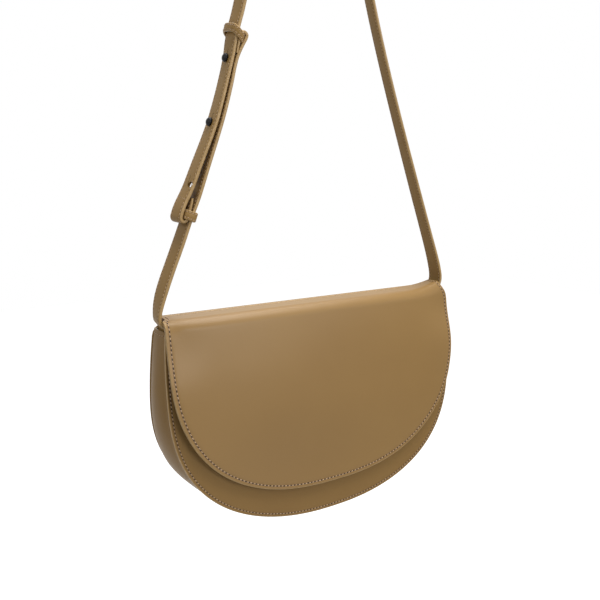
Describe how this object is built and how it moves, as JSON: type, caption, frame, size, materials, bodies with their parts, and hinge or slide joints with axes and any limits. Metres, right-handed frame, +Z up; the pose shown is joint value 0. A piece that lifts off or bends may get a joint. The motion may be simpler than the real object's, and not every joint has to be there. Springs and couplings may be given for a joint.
{
  "type": "half moon bag",
  "caption": "Half moon leather shoulder bag with a magnetic front flap, a band gusset and a long strap whose overlapping ends are joined by button studs and leather keepers.",
  "frame": {"origin": "the inner face of the strap at the top of its arch, where the bag hangs", "axes": "+Z up along the hanging strap, +Y to the back of the bag, +X to the wearer's left as seen from behind the flap"},
  "size_m": [0.2514, 0.0586, 0.6363],
  "materials": {
    "bag_leather": "smooth vegetable tanned leather, semi-gloss",
    "inner_leather": "matte leather",
    "lining_cloth": "fine woven cotton",
    "stiffener_board": "pressed fibre board",
    "magnet_metal": "nickel plated",
    "strap_leather": "smooth leather, semi-gloss",
    "stud_metal": "black lacquer"
  },
  "bodies": {
    "strap": {"long_strap_face": "strap_leather", "long_strap_backing": "strap_leather", "short_strap_face": "strap_leather", "short_strap_backing": "strap_leather", "lower_keeper": "strap_leather", "upper_keeper": "strap_leather", "lower_stud": "stud_metal", "upper_stud": "stud_metal", "lower_stud_screw": "stud_metal", "upper_stud_screw": "stud_metal"},
    "bag_shell": {"back_panel": "bag_leather", "front_panel": "bag_leather", "gusset": "bag_leather", "back_board": "stiffener_board", "front_board": "stiffener_board", "back_facing": "inner_leather", "front_facing": "inner_leather", "gusset_facing_left": "inner_leather", "gusset_facing_right": "inner_leather", "back_lining": "lining_cloth", "front_lining": "lining_cloth", "gusset_lining": "lining_cloth", "slip_pocket": "lining_cloth", "closure_magnet_front": "magnet_metal", "flap_tail": "bag_leather", "short_strap_tab": "strap_leather", "long_strap_tab": "strap_leather"},
    "flap_roof": {"flap_roof_leather": "bag_leather", "flap_roof_lining": "inner_leather"},
    "flap_front": {"flap_front_leather": "bag_leather", "flap_front_lining": "inner_leather", "closure_magnet_flap": "magnet_metal"}
  },
  "joints": [
    {"name": "bag_swing", "type": "hinge", "parent": "strap", "child": "bag_shell", "pos_m": [0.004, 0, -0.47], "axis": [1, 0, 0], "range_deg": [-15, 60]},
    {"name": "flap_lift", "type": "hinge", "parent": "bag_shell", "child": "flap_roof", "pos_m": [0.004, 0.01077, -0.47851], "axis": [-1, 0, 0], "range_deg": [0, 24]},
    {"name": "flap_fold", "type": "hinge", "parent": "flap_roof", "child": "flap_front", "pos_m": [0.004, -0.01339, -0.47953], "axis": [-1, 0, 0], "range_deg": [0, 120]}
  ],
  "couplings": [
    {"joint": "flap_lift", "follows": "flap_fold", "ratio": 0.2}
  ]
}
